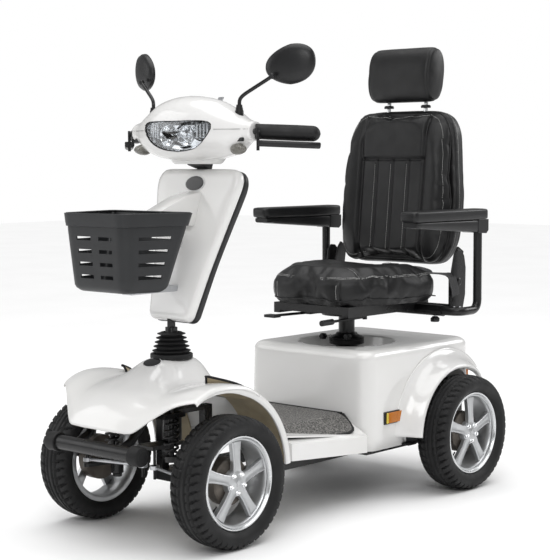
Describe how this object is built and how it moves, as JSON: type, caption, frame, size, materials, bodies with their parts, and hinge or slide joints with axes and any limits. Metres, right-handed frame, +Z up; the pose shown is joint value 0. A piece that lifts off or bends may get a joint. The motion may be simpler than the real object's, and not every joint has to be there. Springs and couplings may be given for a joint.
{
  "type": "mobility scooter",
  "caption": "Four-wheel mobility scooter with a tilting tiller, front basket, carpeted footwell, sprung steering and a swivelling padded armchair seat.",
  "frame": {"origin": "on the ground, under the middle of the scooter between the two bumpers and the two sides", "axes": "+Z up, -Y is the way it drives, +X is the rider's left"},
  "size_m": [0.7094, 1.429, 1.3045],
  "materials": {
    "white_panel": "glossy white moulded panels",
    "black_plastic": "satin black moulded plastic",
    "grey_plastic": "dark grey battery cases",
    "black_steel": "black powder-coated steel",
    "zinc_steel": "zinc-plated steel",
    "alloy": "silver painted cast alloy with a polished lip",
    "tyre_rubber": "black tread rubber",
    "soft_rubber": "matt black rubber",
    "leatherette": "black leatherette with pale stitching",
    "carpet": "speckled grey carpet with a black edge",
    "clear_lens": "clear moulded lens"
  },
  "bodies": {
    "chassis": {"chassis_frame": "black_steel", "floor_pan": "white_panel", "floor_mat": "carpet", "front_shroud": "white_panel", "bumper_bar": "black_plastic", "rear_cover": "white_panel", "battery_left": "grey_plastic", "battery_right": "grey_plastic", "controller_box": "black_plastic", "seat_socket": "black_steel", "transaxle": "zinc_steel", "front_spring_left": "black_steel", "front_spring_right": "black_steel"},
    "steering_column": {"steering_stem": "black_steel", "stem_bellows": "soft_rubber"},
    "tiller": {"tiller_column": "black_steel", "tiller_cover_front": "white_panel", "tiller_cover_rear": "black_plastic", "head_cover": "white_panel", "headlight_lens": "clear_lens", "dash_panel": "black_plastic", "grip_left": "soft_rubber", "grip_right": "soft_rubber"},
    "carrier_basket": {"basket": "black_plastic"},
    "key": {"ignition_key": "zinc_steel"},
    "speed_knob": {"speed_dial": "black_plastic"},
    "tilt_handle": {"tilt_lever": "black_plastic"},
    "seat_column": {"seat_post": "black_steel"},
    "swivel": {"swivel_plate": "black_steel"},
    "swivel_handle": {"swivel_lever": "black_plastic"},
    "seat": {"seat_frame": "black_steel", "seat_cushion": "leatherette"},
    "slide_handle": {"slide_lever": "black_plastic"},
    "backrest": {"backrest_shell": "leatherette", "backrest_cushion": "leatherette"},
    "head_support": {"headrest": "leatherette"},
    "throttle_left": {"throttle_lever_left": "black_plastic"},
    "mirror_stalk_left": {"mirror_arm_left": "black_plastic"},
    "mirror_left": {"mirror_head_left": "black_plastic"},
    "suspension_left": {"upright_left": "black_steel"},
    "steer_left": {"knuckle_left": "black_steel"},
    "track_rod_left": {"tie_rod_left": "zinc_steel"},
    "wheel_front_left": {"tyre_front_left": "tyre_rubber", "rim_front_left": "alloy"},
    "wheel_rear_left": {"tyre_rear_left": "tyre_rubber", "rim_rear_left": "alloy"},
    "arm_left": {"arm_tube_left": "black_steel"},
    "armrest_left": {"arm_pad_left": "black_plastic"},
    "throttle_right": {"throttle_lever_right": "black_plastic"},
    "mirror_stalk_right": {"mirror_arm_right": "black_plastic"},
    "mirror_right": {"mirror_head_right": "black_plastic"},
    "suspension_right": {"upright_right": "black_steel"},
    "steer_right": {"knuckle_right": "black_steel"},
    "track_rod_right": {"tie_rod_right": "zinc_steel"},
    "wheel_front_right": {"tyre_front_right": "tyre_rubber", "rim_front_right": "alloy"},
    "wheel_rear_right": {"tyre_rear_right": "tyre_rubber", "rim_rear_right": "alloy"},
    "arm_right": {"arm_tube_right": "black_steel"},
    "armrest_right": {"arm_pad_right": "black_plastic"}
  },
  "joints": [
    {"name": "steering", "type": "hinge", "parent": "chassis", "child": "steering_column", "pos_m": [0, -0.425, 0.45], "axis": [0, 0, 1], "range_deg": [-30, 30]},
    {"name": "tiller_tilt", "type": "hinge", "parent": "steering_column", "child": "tiller", "pos_m": [0, -0.425, 0.56], "axis": [1, 0, 0], "range_deg": [-28, 10]},
    {"name": "basket_lift", "type": "slide", "parent": "tiller", "child": "carrier_basket", "axis": [0, 0, 1], "range_m": [0, 0.05]},
    {"name": "key_turn", "type": "hinge", "parent": "tiller", "child": "key", "pos_m": [0.052, -0.3034, 1.0994], "axis": [0, 0.5736, 0.8191], "range_deg": [0, 90]},
    {"name": "speed_dial_turn", "type": "hinge", "parent": "tiller", "child": "speed_knob", "pos_m": [0, -0.3034, 1.0994], "axis": [0, 0.5736, 0.8191], "range_deg": [-135, 135]},
    {"name": "tilt_release", "type": "hinge", "parent": "tiller", "child": "tilt_handle", "pos_m": [0, -0.3552, 0.6219], "axis": [1, 0, 0], "range_deg": [-30, 0], "stiffness_Nm_per_rad": 0.5, "springref_deg": 2.86},
    {"name": "throttle_left", "type": "hinge", "parent": "tiller", "child": "throttle_left", "pos_m": [0.2365, -0.3472, 1.0036], "axis": [0, 0, 1], "range_deg": [0, 10], "stiffness_Nm_per_rad": 1, "springref_deg": -2.86},
    {"name": "mirror_swing_left", "type": "hinge", "parent": "tiller", "child": "mirror_stalk_left", "pos_m": [0.158, -0.331, 1.09], "axis": [0, 0, 1], "range_deg": [-40, 40]},
    {"name": "mirror_tilt_left", "type": "hinge", "parent": "mirror_stalk_left", "child": "mirror_left", "pos_m": [0.24, -0.297, 1.172], "axis": [1, 0, 0], "range_deg": [-12, 12]},
    {"name": "suspension_left", "type": "slide", "parent": "chassis", "child": "suspension_left", "axis": [0, 0, 1], "range_m": [-0.02, 0.026], "stiffness_N_per_m": 25000, "springref_m": -0.016, "deforming": ["front_spring_left"]},
    {"name": "steer_left", "type": "hinge", "parent": "suspension_left", "child": "steer_left", "pos_m": [0.165, -0.47, 0.1665], "axis": [0, 0, 1], "range_deg": [-30, 30]},
    {"name": "track_rod_left", "type": "hinge", "parent": "steer_left", "child": "track_rod_left", "pos_m": [0.187, -0.555, 0.177], "axis": [0, 0, 1], "range_deg": [-30, 30]},
    {"name": "front_wheel_left", "type": "hinge", "parent": "steer_left", "child": "wheel_front_left", "pos_m": [0.2456, -0.47, 0.1665], "axis": [1, 0, 0], "continuous": true},
    {"name": "rear_wheel_left", "type": "hinge", "parent": "chassis", "child": "wheel_rear_left", "pos_m": [0.2947, 0.47, 0.1665], "axis": [1, 0, 0], "continuous": true},
    {"name": "throttle_right", "type": "hinge", "parent": "tiller", "child": "throttle_right", "pos_m": [-0.2365, -0.3472, 1.0036], "axis": [0, 0, 1], "range_deg": [-10, 0], "stiffness_Nm_per_rad": 1, "springref_deg": 2.86},
    {"name": "mirror_swing_right", "type": "hinge", "parent": "tiller", "child": "mirror_stalk_right", "pos_m": [-0.158, -0.331, 1.09], "axis": [0, 0, 1], "range_deg": [-40, 40]},
    {"name": "mirror_tilt_right", "type": "hinge", "parent": "mirror_stalk_right", "child": "mirror_right", "pos_m": [-0.24, -0.297, 1.172], "axis": [1, 0, 0], "range_deg": [-12, 12]},
    {"name": "suspension_right", "type": "slide", "parent": "chassis", "child": "suspension_right", "axis": [0, 0, 1], "range_m": [-0.02, 0.026], "stiffness_N_per_m": 25000, "springref_m": -0.016, "deforming": ["front_spring_right"]},
    {"name": "steer_right", "type": "hinge", "parent": "suspension_right", "child": "steer_right", "pos_m": [-0.165, -0.47, 0.1665], "axis": [0, 0, 1], "range_deg": [-30, 30]},
    {"name": "track_rod_right", "type": "hinge", "parent": "steer_right", "child": "track_rod_right", "pos_m": [-0.187, -0.555, 0.177], "axis": [0, 0, 1], "range_deg": [-30, 30]},
    {"name": "front_wheel_right", "type": "hinge", "parent": "steer_right", "child": "wheel_front_right", "pos_m": [-0.2456, -0.47, 0.1665], "axis": [1, 0, 0], "continuous": true},
    {"name": "rear_wheel_right", "type": "hinge", "parent": "chassis", "child": "wheel_rear_right", "pos_m": [-0.2947, 0.47, 0.1665], "axis": [1, 0, 0], "continuous": true},
    {"name": "seat_height", "type": "slide", "parent": "chassis", "child": "seat_column", "axis": [0, 0, 1], "range_m": [0, 0.09]},
    {"name": "seat_swivel", "type": "hinge", "parent": "seat_column", "child": "swivel", "pos_m": [0, 0.295, 0.505], "axis": [0, 0, 1], "continuous": true},
    {"name": "swivel_release", "type": "hinge", "parent": "swivel", "child": "swivel_handle", "pos_m": [-0.0896, 0.27, 0.509], "axis": [0, 0, 1], "range_deg": [-12, 0], "stiffness_Nm_per_rad": 2, "springref_deg": 2.86},
    {"name": "seat_slide", "type": "slide", "parent": "swivel", "child": "seat", "axis": [0, 1, 0], "range_m": [-0.06, 0.07]},
    {"name": "slide_release", "type": "hinge", "parent": "seat", "child": "slide_handle", "pos_m": [0.104, 0.25, 0.508], "axis": [0, 0, 1], "range_deg": [0, 10], "stiffness_Nm_per_rad": 2, "springref_deg": -2.86},
    {"name": "backrest_recline", "type": "hinge", "parent": "seat", "child": "backrest", "pos_m": [0, 0.52, 0.6], "axis": [1, 0, 0], "range_deg": [-25, 12]},
    {"name": "headrest_height", "type": "slide", "parent": "backrest", "child": "head_support", "axis": [0, 0.1045, 0.9945], "range_m": [0, 0.05]},
    {"name": "arm_width_left", "type": "slide", "parent": "seat", "child": "arm_left", "axis": [1, 0, 0], "range_m": [0, 0.04]},
    {"name": "armrest_flip_left", "type": "hinge", "parent": "arm_left", "child": "armrest_left", "pos_m": [0.29, 0.548, 0.77], "axis": [1, 0, 0], "range_deg": [-95, 0]},
    {"name": "arm_width_right", "type": "slide", "parent": "seat", "child": "arm_right", "axis": [-1, 0, 0], "range_m": [0, 0.04]},
    {"name": "armrest_flip_right", "type": "hinge", "parent": "arm_right", "child": "armrest_right", "pos_m": [-0.29, 0.548, 0.77], "axis": [1, 0, 0], "range_deg": [-95, 0]}
  ],
  "couplings": [
    {"joint": "steer_left", "follows": "steering", "ratio": 1},
    {"joint": "track_rod_left", "follows": "steering", "ratio": -1},
    {"joint": "steer_right", "follows": "steering", "ratio": 1},
    {"joint": "track_rod_right", "follows": "steering", "ratio": -1}
  ]
}
